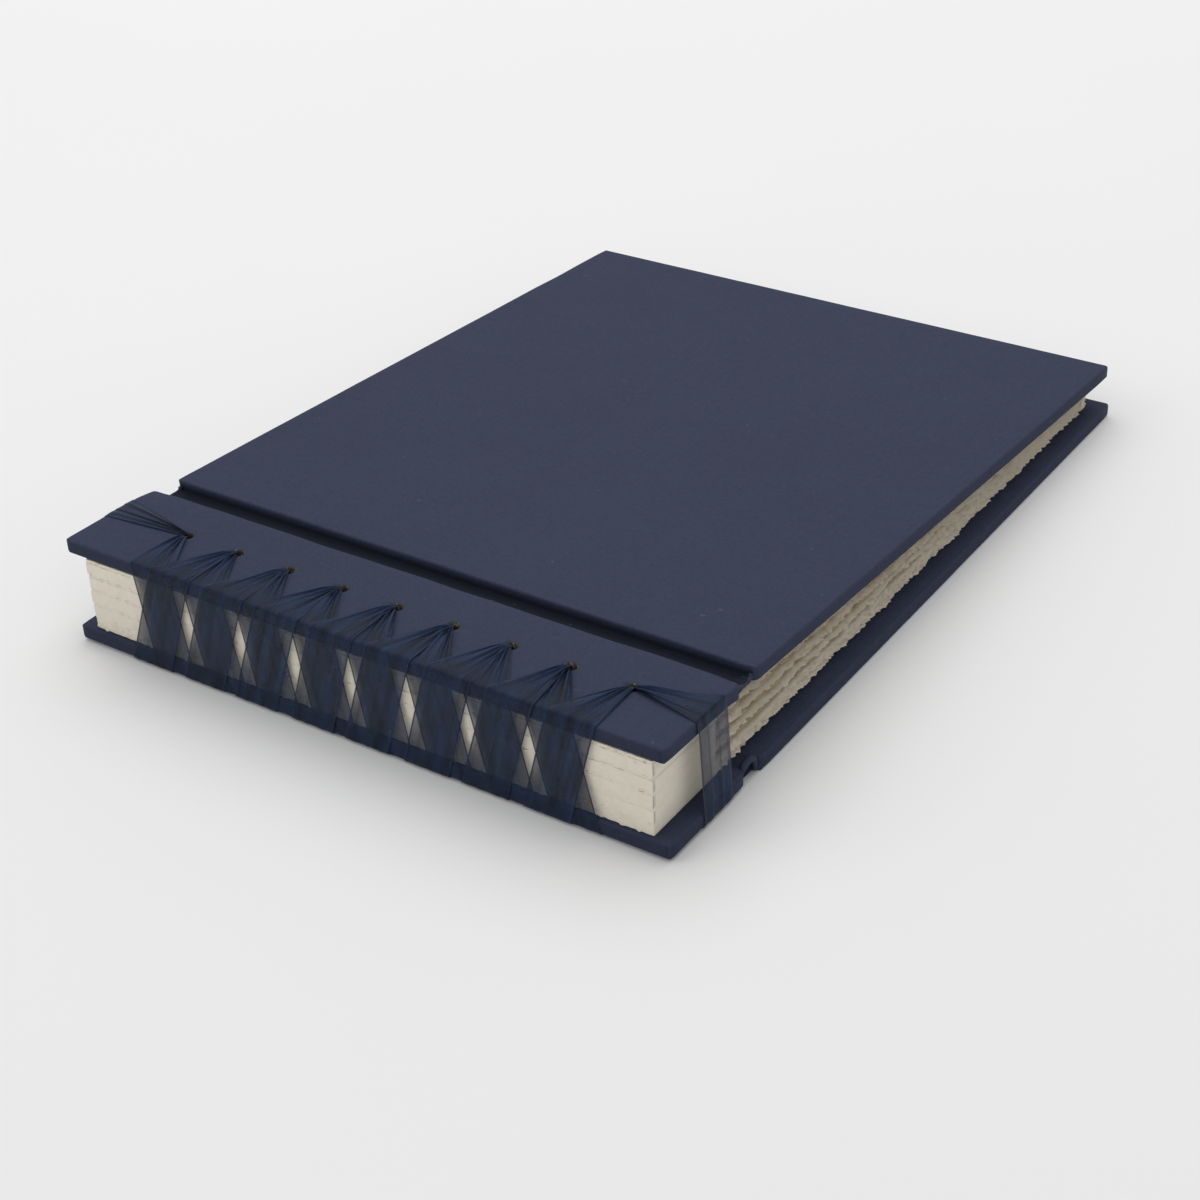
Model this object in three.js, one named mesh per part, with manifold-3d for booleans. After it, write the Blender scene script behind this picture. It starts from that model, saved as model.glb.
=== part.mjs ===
// A ribbon-laced notebook: two cloth-covered covers, each split into a narrow spine board and
// a wide main board with a cloth hinge between, a stack of leaves with guards between them at
// the spine, and one sheer ribbon laced through nine holes.
//
// Millimetres. X runs along the spine with the head at -X and the tail at +X, Y runs from the
// spine to the fore-edge, and Z is up. The origin is under the middle of the closed book.
// Depths and places along Y below are counted from the spine edge of the covers, and the
// whole book is moved to the middle at the end.

import * as THREE from "three";
import { mergeGeometries, mergeVertices } from "three/addons/utils/BufferGeometryUtils.js";
import Module from "manifold-3d";

const wasm = await Module();
wasm.setup();

// Covers
const coverWidth = 156; // along the spine
const coverLength = 216; // spine edge to fore-edge
const boardThickness = 2.8;
const clothThickness = 0.3;
const glueGap = 0.05; // between pieces that are glued together
const stripWidth = 28.5; // the narrow board at the spine
const grooveWidth = 6.2; // the cloth hinge between the two boards
const grooveDepth = 2.9;
const turnIn = 12; // how far the cloth is turned over onto the main board's inner face
const stripTurnIn = 6;

// Height of the closed book, to the outer face of the front cover
const spineHeight = 26;
const stripDrop = 0.9; // the front spine board slopes down towards its hinge
const hingeDrop = 1.2; // the front main board starts this much below the spine's height
const foreEdgeSlack = 0.15; // room between the front cover and the leaves at the fore-edge

// Leaves, in gatherings that turn together, with a guard between each two at the spine
const leafInset = 4; // how far the leaves stop short of the covers at the head and the tail
const gatheringThicknesses = [3, 0.8, 0.8, 0.8, 0.8]; // from the bottom up
const guardDepth = 24;
const foreEdgeInset = 6; // and how far at the fore-edge
const spineInset = 0.4; // and at the spine
const towardsTail = 0.9; // the leaves sit a little nearer the tail than the head
const sheetGap = 0.05;
const bindingGap = 0.3; // between the front cover and the leaves
const leafFold = 0.9; // where the leaves bend, past the spine board's edge
const foldGap = 0.3; // each side of the bend

// Lacing
const holeCount = 9;
const holeRadius = 1.25;
const holeSides = 8;
const holeFromSpine = 15.6;
const firstHoleFromHead = 20.9;
const lastHoleFromTail = 17.2;
const ribbonWidth = 11.6;
const ribbonThickness = 0.25;
const ribbonGap = 0.05; // between ribbon and cover, and between the ribbon's two layers
const gatheredWidth = 1; // the ribbon's width where it is gathered in a hole
const forwardPassage = -0.75; // where each run passes through a hole, from the hole's middle
const returnPassage = 0.5;
const wrapPassage = 0.8;
const forwardStart = -2.6; // the forward run's head-side edge at the top of the spine
const forwardLean = 3.6; // and how far it has moved to the tail at the bottom
const returnStart = 0.6; // the return run's tail-side edge at the top of the spine
const returnLean = -7.8;
const headWrapFromSpine = 12.6;
const tailWrapFromSpine = 11.9;

// Sizes that follow from those above
const coverThickness = boardThickness + 2 * (clothThickness + glueGap);
const layerStep = ribbonThickness + ribbonGap;
const ribbonBed = 2 * layerStep + ribbonGap; // the room that two layers take under the spine
const gatheringCount = gatheringThicknesses.length;
const sum = (numbers) => numbers.reduce((total, number) => total + number, 0);
const leavesBelow = (index) => sum(gatheringThicknesses.slice(0, index));
const pressedLeaves = leavesBelow(gatheringCount) + gatheringCount * sheetGap;
const hingeHeight = spineHeight - hingeDrop;
const foreEdgeHeight = 2 * coverThickness + pressedLeaves + foreEdgeSlack;
const leafWidth = coverWidth - 2 * leafInset;
const mainStart = stripWidth + grooveWidth;
const foldLine = stripWidth + leafFold;
const leafEnd = coverLength - foreEdgeInset;
const holeSpacing = (coverWidth - firstHoleFromHead - lastHoleFromTail) / (holeCount - 1);
const middleFromSpine = (coverLength - 2 * layerStep) / 2;

const holeX = (index) => firstHoleFromHead + index * holeSpacing - coverWidth / 2;
const between = (y, y0, z0, y1, z1) => z0 + ((y - y0) * (z1 - z0)) / (y1 - y0);
const frontSpineOuter = (y) => between(y, 0, spineHeight, stripWidth, spineHeight - stripDrop);
const frontMainOuter = (y) => between(y, mainStart, hingeHeight, coverLength, foreEdgeHeight);
const backSpineOuter = () => ribbonBed;
const backMainOuter = () => 0;

// The leaves' heights: spaced by guards of one thickness at the spine, and pressed together
// at the fore-edge
const blockBottom = ribbonBed + coverThickness + sheetGap;
const blockTop = (y) => frontSpineOuter(y) - coverThickness - bindingGap;
const guardRoom = (y) => blockTop(y) - blockBottom - leavesBelow(gatheringCount);
const guardPitch = (y) => guardRoom(y) / (gatheringCount - 1);
const boundBottom = (index) => (y) => blockBottom + leavesBelow(index) + index * guardPitch(y);
const boundTop = (index) => (y) => boundBottom(index)(y) + gatheringThicknesses[index];
const freeBottom = (index) => {
  const start = boundBottom(index)(foldLine);
  const end = coverThickness + sheetGap + leavesBelow(index) + index * sheetGap;
  return (y) => between(y, foldLine, start, leafEnd, end);
};

const colours = {
  cloth: { color: 0x262d42, roughness: 0.85 },
  board: { color: 0x7b6a52, roughness: 0.9 },
  lining: { color: 0xd8d0bc, roughness: 0.9 },
  paper: { color: 0xd9d1bd, roughness: 0.95 },
  ribbon: { color: 0x2c3a63, roughness: 0.5 },
};

const book = new THREE.Group();
const innards = new THREE.Group();
innards.position.y = -middleFromSpine;
book.add(innards);

function place(name, geometry, finish) {
  const material = new THREE.MeshStandardMaterial({ ...colours[finish], metalness: 0 });
  const mesh = new THREE.Mesh(geometry, material);
  mesh.name = name;
  innards.add(mesh);
}

// A plate whose outline in Y and Z is drawn once and carried along X
function extrudeAlongX(points, xLow, xHigh) {
  const shape = new THREE.Shape(points.map(([y, z]) => new THREE.Vector2(y, z)));
  const geometry = new THREE.ExtrudeGeometry(shape, { depth: xHigh - xLow, bevelEnabled: false });
  const turn = new THREE.Matrix4().makeBasis(
    new THREE.Vector3(0, 1, 0),
    new THREE.Vector3(0, 0, 1),
    new THREE.Vector3(1, 0, 0),
  );
  return geometry.applyMatrix4(turn).translate(xLow, 0, 0);
}

// A plate from y0 to y1 between two heights, each a straight line in Y
function slab(y0, y1, low, high, xLow, xHigh) {
  const outline = [
    [y0, low(y0)],
    [y1, low(y1)],
    [y1, high(y1)],
    [y0, high(y0)],
  ];
  return extrudeAlongX(outline, xLow, xHigh);
}

function toManifold(geometry) {
  const plain = geometry.clone();
  plain.deleteAttribute("normal");
  plain.deleteAttribute("uv");
  const merged = mergeVertices(plain, 1e-4);
  const mesh = new wasm.Mesh({
    numProp: 3,
    vertProperties: new Float32Array(merged.attributes.position.array),
    triVerts: new Uint32Array(merged.index.array),
  });
  return new wasm.Manifold(mesh);
}

function toGeometry(solid) {
  const mesh = solid.getMesh();
  const geometry = new THREE.BufferGeometry();
  geometry.setAttribute("position", new THREE.BufferAttribute(mesh.vertProperties, 3));
  geometry.setIndex(new THREE.BufferAttribute(mesh.triVerts, 1));
  return geometry;
}

function cut(geometry, ...tools) {
  let solid = toManifold(geometry);
  for (const tool of tools) {
    solid = solid.subtract(toManifold(tool));
  }
  return toGeometry(solid);
}

// One long drill for each hole, used on everything that the ribbon passes through
function makeDrills() {
  const drills = [];
  for (let index = 0; index < holeCount; index += 1) {
    const drill = new THREE.CylinderGeometry(holeRadius, holeRadius, 2 * spineHeight, holeSides);
    drill.rotateX(Math.PI / 2);
    drill.translate(holeX(index), holeFromSpine, spineHeight / 2);
    drills.push(drill);
  }
  return mergeGeometries(drills);
}

const drills = makeDrills();

// One cloth-covered board: its cloth, open over the inner face inside the turn-ins, the board,
// and the lining in that opening. Sense is +1 where the outer face is on top, -1 below.
function addPanel(name, panel) {
  const { start, end, outer, sense, turned, tools } = panel;
  const half = coverWidth / 2;
  const layer = (inset, from, to, past = 0) => {
    const outside = (y) => outer(y) - sense * from;
    const inside = (y) => outer(y) - sense * (to + past);
    const [low, high] = sense > 0 ? [inside, outside] : [outside, inside];
    return slab(start + inset, end - inset, low, high, inset - half, half - inset);
  };
  const wall = clothThickness + glueGap;
  const cavity = layer(clothThickness, clothThickness, coverThickness - clothThickness);
  const opening = layer(turned, coverThickness / 2, coverThickness, coverThickness);
  const cloth = cut(layer(0, 0, coverThickness), cavity, opening, ...tools);
  const board = cut(layer(wall, wall, wall + boardThickness), ...tools);
  const liningStart = coverThickness - clothThickness;
  const lining = cut(layer(turned + glueGap, liningStart, coverThickness), ...tools);
  place(`${name}_cloth`, cloth, "cloth");
  place(`${name}_board`, board, "board");
  place(`${name}_lining`, lining, "lining");
}

// The cloth hinge: a shallow channel pushed in between the two boards of a cover
function addHinge(name, spineOuter, mainOuter, sense) {
  const wallStart = stripWidth + glueGap;
  const wallEnd = mainStart - glueGap;
  const lip = 2 * clothThickness;
  const spineLip = spineOuter(stripWidth) - sense * lip;
  const mainLip = mainOuter(mainStart) - sense * lip;
  const floor = mainOuter(mainStart) - sense * grooveDepth;
  const inner = floor + sense * clothThickness;
  const outline = [
    [wallStart, floor],
    [wallEnd, floor],
    [wallEnd, mainLip],
    [wallEnd - clothThickness, mainLip],
    [wallEnd - clothThickness, inner],
    [wallStart + clothThickness, inner],
    [wallStart + clothThickness, spineLip],
    [wallStart, spineLip],
  ];
  place(name, extrudeAlongX(outline, -coverWidth / 2, coverWidth / 2), "cloth");
}

function addCover(side, spineOuter, mainOuter, sense) {
  const spinePanel = { start: 0, end: stripWidth, outer: spineOuter, sense };
  addPanel(`${side}_spine`, { ...spinePanel, turned: stripTurnIn, tools: [drills] });
  const mainPanel = { start: mainStart, end: coverLength, outer: mainOuter, sense };
  addPanel(`${side}_main`, { ...mainPanel, turned: turnIn, tools: [] });
  addHinge(`${side}_hinge_cloth`, spineOuter, mainOuter, sense);
}

// Each gathering is bound at the spine and free past its fold. The guards fill the spine
// between the gatherings.
function addLeaves() {
  const xLow = towardsTail - leafWidth / 2;
  const xHigh = towardsTail + leafWidth / 2;
  for (let index = 0; index < gatheringCount; index += 1) {
    const number = index + 1;
    const low = boundBottom(index);
    const high = boundTop(index);
    const bound = slab(spineInset, foldLine - foldGap, low, high, xLow, xHigh);
    place(`bound_leaves_${number}`, cut(bound, drills), "paper");

    const freeLow = freeBottom(index);
    const freeHigh = (y) => freeLow(y) + gatheringThicknesses[index];
    const free = slab(foldLine + foldGap, leafEnd, freeLow, freeHigh, xLow, xHigh);
    place(`free_leaves_${number}`, free, "paper");

    if (number < gatheringCount) {
      const guardLow = (y) => high(y) + sheetGap;
      const guardHigh = (y) => boundBottom(number)(y) - sheetGap;
      const guard = slab(spineInset, guardDepth, guardLow, guardHigh, xLow, xHigh);
      place(`guard_${number}`, cut(guard, drills), "paper");
    }
  }
}

// A ribbon as a closed band. Each section has the ribbon's two edges on its inner face and the
// same two edges on its outer face, in that order, and the sections follow the ribbon's run.
function ribbonBand(sections) {
  const corners = sections.flat();
  const faces = [];
  const quad = (a, b, c, d) => faces.push(a, c, b, a, d, c);
  for (let step = 0; step + 1 < sections.length; step += 1) {
    const here = 4 * step;
    const next = here + 4;
    quad(here, next, next + 1, here + 1);
    quad(here + 1, next + 1, next + 3, here + 3);
    quad(here + 3, next + 3, next + 2, here + 2);
    quad(here + 2, next + 2, next, here);
  }
  const last = 4 * (sections.length - 1);
  quad(0, 1, 3, 2);
  quad(last, last + 2, last + 3, last + 1);
  const geometry = new THREE.BufferGeometry();
  geometry.setAttribute("position", new THREE.Float32BufferAttribute(corners.flat(), 3));
  geometry.setIndex(faces);
  return geometry;
}

// The four bends of a lap round the spine, as heights and depths of its inner and outer faces
function spineBends(layer, passage) {
  const innerOff = ribbonGap + layer * layerStep;
  const outerOff = innerOff + ribbonThickness;
  const holeInner = holeFromSpine + passage;
  const holeOuter = holeInner + ribbonThickness;
  const top = frontSpineOuter(holeFromSpine);
  const edge = frontSpineOuter(0);
  const bottom = backSpineOuter();
  return {
    holeTop: [[holeInner, top + innerOff], [holeOuter, top + outerOff]],
    edgeTop: [[-innerOff, edge + innerOff], [-outerOff, edge + outerOff]],
    edgeBottom: [[-innerOff, bottom - innerOff], [-outerOff, bottom - outerOff]],
    holeBottom: [[holeInner, bottom - innerOff], [holeOuter, bottom - outerOff]],
  };
}

function sectionAcrossX(bend, xLow, xHigh) {
  const [[innerY, innerZ], [outerY, outerZ]] = bend;
  return [
    [xLow, innerY, innerZ],
    [xHigh, innerY, innerZ],
    [xLow, outerY, outerZ],
    [xHigh, outerY, outerZ],
  ];
}

// A run goes up through a hole, over the spine edge, down the spine and under to the next
// hole: the forward run towards the tail, and the return run, outside it, towards the head
function addRun(name, layer, passage, order, edges) {
  const bends = spineBends(layer, passage);
  const sections = [];
  order.forEach((hole, step) => {
    const x = holeX(hole);
    const low = x - gatheredWidth / 2;
    const high = x + gatheredWidth / 2;
    sections.push(sectionAcrossX(bends.holeBottom, low, high));
    sections.push(sectionAcrossX(bends.holeTop, low, high));
    if (step + 1 < order.length) {
      const [topLow, bottomLow] = edges(x);
      sections.push(sectionAcrossX(bends.edgeTop, topLow, topLow + ribbonWidth));
      sections.push(sectionAcrossX(bends.edgeBottom, bottomLow, bottomLow + ribbonWidth));
    }
  });
  place(name, ribbonBand(sections), "ribbon");
}

// A wrap goes from an end hole over the head or tail of the spine boards and back under to
// the same hole. Side is -1 at the head and +1 at the tail.
function addWrap(name, hole, side, fromSpine) {
  const innerOff = ribbonGap;
  const outerOff = ribbonGap + ribbonThickness;
  const holeInner = holeX(hole) + side * wrapPassage;
  const holeOuter = holeInner - side * ribbonThickness;
  const edgeInner = side * (coverWidth / 2 + innerOff);
  const edgeOuter = side * (coverWidth / 2 + outerOff);
  const gathered = [holeFromSpine - gatheredWidth / 2, holeFromSpine + gatheredWidth / 2];
  const flat = [fromSpine, fromSpine + ribbonWidth];
  const bottom = backSpineOuter();
  const section = (depths, innerX, innerZ, outerX, outerZ) => {
    const ends = side > 0 ? [0, 1] : [1, 0];
    return [
      ...ends.map((end) => [innerX, depths[end], innerZ(depths[end])]),
      ...ends.map((end) => [outerX, depths[end], outerZ(depths[end])]),
    ];
  };
  const above = (offset) => (y) => frontSpineOuter(y) + offset;
  const below = (offset) => () => bottom - offset;
  const middle = (shift) => () => spineHeight / 2 + shift;
  const upper = middle(bindingGap);
  const lower = middle(-bindingGap);
  const sections = [
    section(gathered, holeInner, upper, holeOuter, upper),
    section(gathered, holeInner, above(innerOff), holeOuter, above(outerOff)),
    section(flat, edgeInner, above(innerOff), edgeOuter, above(outerOff)),
    section(flat, edgeInner, below(innerOff), edgeOuter, below(outerOff)),
    section(gathered, holeInner, below(innerOff), holeOuter, below(outerOff)),
    section(gathered, holeInner, lower, holeOuter, lower),
  ];
  place(name, ribbonBand(sections), "ribbon");
}

function addRibbon() {
  const forward = Array.from({ length: holeCount }, (_, index) => index);
  const back = [...forward].reverse();
  const forwardEdges = (x) => [x + forwardStart, x + forwardStart + forwardLean];
  const returnEdges = (x) => {
    const start = x + returnStart - ribbonWidth;
    return [start, start + returnLean];
  };
  addRun("ribbon_forward_run", 0, forwardPassage, forward, forwardEdges);
  addRun("ribbon_return_run", 1, returnPassage, back, returnEdges);
  addWrap("ribbon_head_wrap", 0, -1, headWrapFromSpine);
  addWrap("ribbon_tail_wrap", holeCount - 1, 1, tailWrapFromSpine);
}

addCover("front", frontSpineOuter, frontMainOuter, 1);
addCover("back", backSpineOuter, backMainOuter, -1);
addLeaves();
addRibbon();

export default book;
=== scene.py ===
"""A logbook with cloth-covered boards, deckle-edged leaves and a sheer ribbon laced through its spine.

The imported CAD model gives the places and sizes. Every piece made here is worked out in millimetres,
with depths counted from the spine edge of the covers, and put into its mesh in metres.
"""

import bpy
import numpy as np
from mathutils import Matrix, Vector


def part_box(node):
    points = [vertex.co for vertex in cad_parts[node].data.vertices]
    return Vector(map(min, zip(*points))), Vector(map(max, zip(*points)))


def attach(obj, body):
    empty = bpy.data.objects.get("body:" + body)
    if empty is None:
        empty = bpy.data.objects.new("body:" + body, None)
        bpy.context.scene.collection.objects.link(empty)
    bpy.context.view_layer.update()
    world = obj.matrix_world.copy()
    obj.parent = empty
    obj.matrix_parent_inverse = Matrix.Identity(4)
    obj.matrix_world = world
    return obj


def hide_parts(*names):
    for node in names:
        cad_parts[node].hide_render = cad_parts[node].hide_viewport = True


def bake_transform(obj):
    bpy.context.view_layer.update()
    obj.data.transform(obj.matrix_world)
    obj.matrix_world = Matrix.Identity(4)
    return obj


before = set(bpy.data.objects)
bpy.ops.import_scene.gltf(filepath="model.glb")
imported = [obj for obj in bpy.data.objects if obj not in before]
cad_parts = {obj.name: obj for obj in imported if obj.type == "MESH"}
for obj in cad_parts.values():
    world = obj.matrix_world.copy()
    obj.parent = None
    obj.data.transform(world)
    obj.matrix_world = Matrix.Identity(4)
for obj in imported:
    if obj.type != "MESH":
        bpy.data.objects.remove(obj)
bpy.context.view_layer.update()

bl_info = {
    "name": "Ribbon-laced logbook",
    "version": (1, 0, 0),
    "blender": (4, 5, 0),
    "location": "3D View > Sidebar > Logbook",
    "description": "Covers, leaves, ribbon and stage of a laced logbook",
    "category": "Object",
}

MM = 0.001
GATHERINGS = (1, 2, 3, 4, 5)
GUARDS = (1, 2, 3, 4)


def node_box(name):
    """Lowest and highest corner of a CAD node, in millimetres."""
    low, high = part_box(name)
    return np.array(low) / MM, np.array(high) / MM


SPINE_EDGE = node_box("front_spine_cloth")[0][1]
HALF_WIDTH = node_box("front_spine_cloth")[1][0]
COVER_THICKNESS = float(np.ptp([corner[2] for corner in node_box("back_spine_cloth")]))


# Sizes and colours that a user would change


def length(name, description, millimetres):
    """A length property, whose default is given in millimetres."""
    return bpy.props.FloatProperty(
        name=name, description=description, default=millimetres * MM, min=0, precision=5, unit="LENGTH"
    )


def colour(name, description, value):
    """A colour property."""
    return bpy.props.FloatVectorProperty(
        name=name, description=description, default=value, size=3, min=0, max=1, subtype="COLOR"
    )


class LogbookCoverSizes(bpy.types.PropertyGroup):
    edge_radius: length("Edge radius", "Rounding of the cloth over the boards' edges", 0.55)
    corner_radius: length("Corner radius", "Rounding of the boards' corners, seen from above", 1.1)
    groove_depth: length("Groove depth", "Depth of the cloth hinge below the outer face", 2.9)
    front_groove_inset: length("Front groove inset", "How far the front groove's ends are pushed in", 0.9)
    back_groove_inset: length("Back groove inset", "How far the back groove's ends are pushed in", 1.6)
    hole_radius: length("Hole radius", "Radius of the punched lacing holes", 1.4)


class LogbookLeafSizes(bpy.types.PropertyGroup):
    gathering_thickness: length("Gathering thickness", "Thickness of one thin gathering of leaves", 0.8)
    thin_gathering_leaves: bpy.props.IntProperty(
        name="Leaves in a thin gathering", description="Leaves in each gathering but the bottom one", default=3
    )
    bottom_gathering_leaves: bpy.props.IntProperty(
        name="Leaves in the bottom gathering", description="Leaves in the thick bottom gathering", default=8
    )
    deckle_depth: length("Deckle depth", "How far the torn edges wander in and out", 0.6)
    wave_height: length("Wave height", "How far the leaves' edges rise and fall", 0.42)


class LogbookRibbonSizes(bpy.types.PropertyGroup):
    width: length("Ribbon width", "Width of the ribbon when flat", 11.6)
    gathered_width: length("Gathered width", "Width of the ribbon where it is gathered in a hole", 1.5)
    selvedge: length("Selvedge width", "Width of the dense woven edge", 0.35)
    opacity: bpy.props.FloatProperty(
        name="Opacity", description="How much one layer of the ribbon hides", default=0.66, min=0, max=1, subtype="FACTOR"
    )


class LogbookColours(bpy.types.PropertyGroup):
    bookcloth: colour("Bookcloth", "Cloth of the covers", (0.040, 0.049, 0.088))
    greyboard: colour("Board", "Raw board inside the covers and in the holes", (0.070, 0.060, 0.042))
    lining: colour("Lining", "Paper inside the covers", (0.70, 0.66, 0.56))
    leaves: colour("Leaves", "Paper of the leaves", (0.80, 0.745, 0.635))
    ribbon: colour("Ribbon", "Sheer woven ribbon", (0.0100, 0.0190, 0.0440))


# Shader maths


class Varying:
    """A number that varies over a surface. Arithmetic on it adds Math nodes."""

    def __init__(self, finish, socket):
        self.finish = finish
        self.socket = socket

    def maths(self, operation, first, second=0.0):
        node = self.finish.node("Math", {"operation": operation}, {0: first, 1: second})
        return Varying(self.finish, node.outputs[0])

    def __add__(self, other):
        return self.maths("ADD", self, other)

    __radd__ = __add__

    def __sub__(self, other):
        return self.maths("SUBTRACT", self, other)

    def __rsub__(self, other):
        return self.maths("SUBTRACT", other, self)

    def __mul__(self, other):
        return self.maths("MULTIPLY", self, other)

    __rmul__ = __mul__

    def __truediv__(self, other):
        return self.maths("DIVIDE", self, other)

    def __pow__(self, other):
        return self.maths("POWER", self, other)

    def __rpow__(self, other):
        return self.maths("POWER", other, self)

    def sine(self):
        return self.maths("SINE", self)

    def between(self, low, high):
        """0 below low, 1 above high, and even in between."""
        settings = {"clamp": True}
        node = self.finish.node("MapRange", settings, {"Value": self, "From Min": low, "From Max": high})
        return Varying(self.finish, node.outputs[0])


class Finish:
    """A material with one Principled shader, and the ways to add nodes to it."""

    def __init__(self, name, **numbers):
        self.material = bpy.data.materials.new(name)
        self.material.use_nodes = True
        self.tree = self.material.node_tree
        self.tree.nodes.clear()
        self.shader = self.node("BsdfPrincipled", inputs=numbers)
        self.node("OutputMaterial", inputs={"Surface": self.shader.outputs[0]})

    def node(self, kind, settings=None, inputs=None):
        """Adds a node, sets its settings first, and then gives its sockets their values or links."""
        node = self.tree.nodes.new("ShaderNode" + kind)
        for key, value in (settings or {}).items():
            setattr(node, key, value)
        for key, value in (inputs or {}).items():
            key = key.replace("_", " ") if isinstance(key, str) else key
            self.feed(node.inputs[key], value)
        return node

    def feed(self, socket, value):
        if isinstance(value, Varying):
            value = value.socket
        if isinstance(value, bpy.types.NodeSocket):
            self.tree.links.new(value, socket)
        elif socket.type == "RGBA":
            socket.default_value = (*value, 1.0)
        else:
            socket.default_value = value

    def place(self):
        """The point's place on the object, in metres."""
        return self.node("TexCoord").outputs["Object"]

    def cloth_place(self):
        """The point's place on the cloth or ribbon, in metres along and across it."""
        return self.node("UVMap", {"uv_map": "Cloth"}).outputs[0]

    def stretched(self, place, scale):
        return self.node("Mapping", inputs={"Vector": place, "Scale": scale}).outputs[0]

    def part(self, place, axis):
        return Varying(self, self.node("SeparateXYZ", inputs={0: place}).outputs[axis])

    def noise(self, place, scale, detail=3.0, roughness=0.5):
        inputs = {"Vector": place, "Scale": scale, "Detail": detail, "Roughness": roughness}
        return Varying(self, self.node("TexNoise", inputs=inputs).outputs["Fac"])

    def attribute(self, name):
        return Varying(self, self.node("Attribute", {"attribute_name": name}).outputs["Fac"])

    def mix(self, share, first, second):
        """A colour between two."""
        node = self.node("Mix", {"data_type": "RGBA"}, {0: share, 6: first, 7: second})
        return node.outputs[2]

    def bump(self, height, distance, strength=1.0):
        inputs = {"Height": height, "Distance": distance, "Strength": strength}
        return self.node("Bump", inputs=inputs).outputs[0]

    def surface(self, **inputs):
        """Feeds the shader's sockets."""
        for key, value in inputs.items():
            self.feed(self.shader.inputs[key.replace("_", " ")], value)
        return self.material


def shade(value, factor):
    """A colour made lighter or darker."""
    return tuple(min(1.0, part * factor) for part in value)


def bookcloth_finish(base):
    """Matt woven bookcloth: fine threads both ways, slubs, soft uneven dye, and painted shade where the cover marks it:
    in the hinge groove, on the boards' sides and at the back hinge's closed ends.
    """
    finish = Finish("bookcloth", Specular_IOR_Level=0.12)
    cloth = finish.cloth_place()
    warp = (finish.part(cloth, 0) * (2 * np.pi / 0.00042)).sine()
    weft = (finish.part(cloth, 1) * (2 * np.pi / 0.00050)).sine()
    weave = warp * weft * 0.5 + 0.5
    slubs_along = finish.noise(finish.stretched(cloth, (60, 1700, 1)), 1.0, 2.0)
    slubs_across = finish.noise(finish.stretched(cloth, (1700, 60, 1)), 1.0, 2.0)
    slubs = slubs_along * 0.5 + slubs_across * 0.5
    dye = finish.noise(finish.place(), 45.0, 4.0, 0.6)
    cloudy = finish.noise(finish.place(), 9.0, 2.0)
    grain = finish.noise(finish.place(), 1100.0, 3.0, 0.75).between(0.3, 0.7)
    lint = finish.noise(finish.place(), 520.0, 1.0).between(0.76, 0.82)
    threads = finish.mix((weave * 0.4 + slubs * 0.6).between(0.2, 0.8), shade(base, 0.66), shade(base, 1.3))
    dyed = finish.mix((dye * 0.6 + cloudy * 0.4).between(0.3, 0.7) * 0.45, threads, shade(base, 1.22))
    grained = finish.mix(grain * 0.5, dyed, shade(base, 0.66))
    # Painted shade: the cloth is darkened nearly to black where the cover marks shade.
    painted_shade = finish.mix(finish.attribute("painted_shade") * 0.85, grained, shade(base, 0.18))
    dusty = finish.mix(lint * 0.3, painted_shade, (0.13, 0.14, 0.17))
    height = weave * 0.6 + slubs * 0.8
    return finish.surface(
        Base_Color=dusty, Roughness=0.66 + slubs * 0.22, Normal=finish.bump(height, 0.00009, 0.6)
    )


def greyboard_finish(base):
    """Raw pressed board: brown-grey fibres with pale flecks, partly pale fibres and partly a painted highlight for
    glints on the holes' rims.
    """
    finish = Finish("greyboard", Specular_IOR_Level=0.3)
    place = finish.place()
    fibres = finish.noise(place, 1800.0, 3.0, 0.7)
    # Pale flecks: partly fibres in the board, partly a painted highlight standing in for glints on the holes' rims.
    flecks = finish.noise(place, 1300.0, 1.0).between(0.56, 0.64)
    layers = finish.noise(finish.stretched(place, (120, 120, 2600)), 1.0, 2.0)
    worn = finish.mix(fibres * 0.6 + layers * 0.4, shade(base, 0.45), shade(base, 1.5))
    flecked = finish.mix(flecks, worn, shade(base, 3.2))
    return finish.surface(
        Base_Color=flecked, Roughness=0.75 + fibres * 0.2, Normal=finish.bump(fibres, 0.0001, 0.6)
    )


def paper_finish(name, base, tooth):
    """Thick uncoated paper: fibres, a cloudy formation, small flecks and a felt texture, with painted brown shade where
    the leaves mark the gaps between them.
    """
    finish = Finish(name, Specular_IOR_Level=0.2)
    place = finish.place()
    cloudy = finish.noise(place, 70.0, 3.0)
    felt = finish.noise(place, 900.0, 4.0, 0.65)
    flecks = finish.noise(place, 650.0, 2.0, 0.6).between(0.70, 0.76)
    # Painted shade: the brown that the leaves darken to in the gaps between them.
    painted_gap_shade = (base[0] * 0.60, base[1] * 0.50, base[2] * 0.35)
    aged = finish.mix((cloudy * 0.5 + felt * 0.5).between(0.3, 0.7), shade(base, 0.92), shade(base, 1.04))
    flecked = finish.mix(flecks * 0.5, aged, (base[0] * 0.62, base[1] * 0.54, base[2] * 0.40))
    # Painted shade where the leaves mark it.
    shaded = finish.mix(finish.attribute("painted_gap_shade"), flecked, painted_gap_shade)
    return finish.surface(
        Base_Color=shaded, Roughness=0.82 + felt * 0.12, Normal=finish.bump(felt, tooth, 0.7)
    )


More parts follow.
